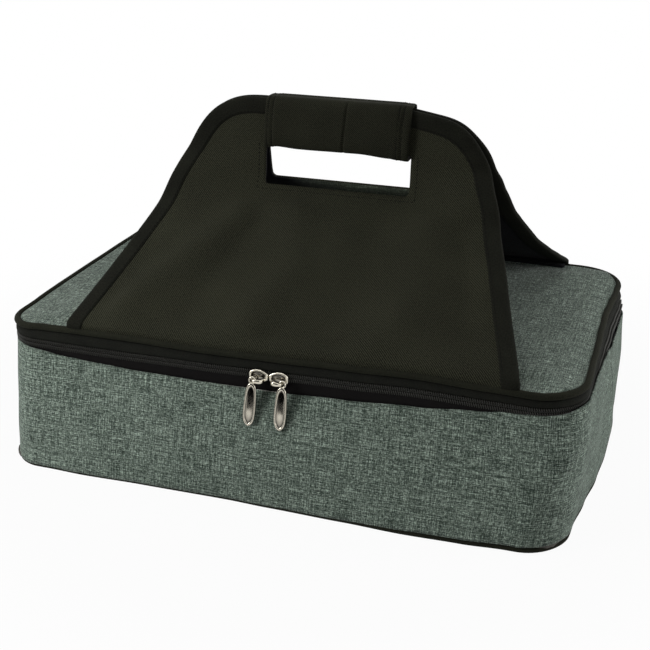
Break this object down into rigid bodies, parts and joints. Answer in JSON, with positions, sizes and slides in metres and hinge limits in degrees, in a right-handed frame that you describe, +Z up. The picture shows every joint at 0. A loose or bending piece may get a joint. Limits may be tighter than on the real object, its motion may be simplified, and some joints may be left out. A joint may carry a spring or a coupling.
{
  "type": "casserole carrier",
  "caption": "Soft insulated box for carrying a covered baking dish, with a zipped lid, tall cloth handles that meet in a padded grip, and zip sliders that part from the front.",
  "frame": {"origin": "centre of the underside, on the surface that the carrier stands on", "axes": "+X to the right along the front, -Y towards the viewer of the front, +Z up"},
  "size_m": [0.419, 0.281, 0.251],
  "materials": {
    "heathered_canvas": "matt heathered grey-green canvas with pale flecks",
    "dark_twill": "matt near-black twill with a fine diagonal rib",
    "black_cloth": "matt black woven cloth",
    "zip_tape": "matt black woven zip tape",
    "nylon_coil": "satin black nylon coil",
    "foam": "matt white closed-cell foam",
    "wipe_clean_liner": "soft-sheen grey film",
    "stiff_board": "matt dark board",
    "hook_and_loop": "matt black hook and loop tape",
    "plated_metal": "bright nickel plate"
  },
  "bodies": {
    "base": {"base_canvas_wall": "heathered_canvas", "base_bottom_panel": "black_cloth", "bottom_piping": "black_cloth", "bottom_board": "stiff_board", "wall_foam": "foam", "floor_foam": "foam", "inner_liner": "wipe_clean_liner", "lower_zip_tape": "zip_tape", "lower_zip_coil": "nylon_coil", "rear_hinge_lower": "black_cloth"},
    "lid": {"lid_canvas_panel": "heathered_canvas", "lid_foam": "foam", "lid_liner": "wipe_clean_liner", "lid_piping": "black_cloth", "upper_zip_tape": "zip_tape", "upper_zip_coil": "nylon_coil", "rear_hinge_upper": "black_cloth", "front_handle_hem": "dark_twill", "rear_handle_hem": "dark_twill"},
    "front_handle": {"front_handle_panel": "dark_twill", "front_handle_lining": "black_cloth", "front_handle_binding": "black_cloth", "front_grip_pad": "dark_twill", "front_hook_strip": "hook_and_loop"},
    "rear_handle": {"rear_handle_panel": "dark_twill", "rear_handle_lining": "black_cloth", "rear_handle_binding": "black_cloth", "rear_grip_pad": "dark_twill", "rear_loop_strip": "hook_and_loop"},
    "left_slider": {"left_slider_body": "plated_metal", "left_slider_bail": "plated_metal"},
    "right_slider": {"right_slider_body": "plated_metal", "right_slider_bail": "plated_metal"},
    "left_pull": {"left_zip_pull": "plated_metal"},
    "right_pull": {"right_zip_pull": "plated_metal"}
  },
  "joints": [
    {"name": "lid_hinge", "type": "hinge", "parent": "base", "child": "lid", "pos_m": [0, 0.1215, 0.0903], "axis": [-1, 0, 0], "range_deg": [0, 95]},
    {"name": "front_handle_fold", "type": "hinge", "parent": "lid", "child": "front_handle", "pos_m": [0, -0.1186, 0.10796], "axis": [1, 0, 0], "range_deg": [0, 140]},
    {"name": "rear_handle_fold", "type": "hinge", "parent": "lid", "child": "rear_handle", "pos_m": [0, 0.1186, 0.10796], "axis": [-1, 0, 0], "range_deg": [0, 55]},
    {"name": "left_slider_run", "type": "slide", "parent": "base", "child": "left_slider", "axis": [-1, 0, 0], "range_m": [0, 0.155]},
    {"name": "right_slider_run", "type": "slide", "parent": "base", "child": "right_slider", "axis": [1, 0, 0], "range_m": [0, 0.155]},
    {"name": "left_pull_swing", "type": "hinge", "parent": "left_slider", "child": "left_pull", "pos_m": [-0.0107, -0.1258, 0.0876], "axis": [0, 1, 0], "range_deg": [-8, 90]},
    {"name": "right_pull_swing", "type": "hinge", "parent": "right_slider", "child": "right_pull", "pos_m": [0.0107, -0.1258, 0.0876], "axis": [0, -1, 0], "range_deg": [-8, 90]}
  ]
}
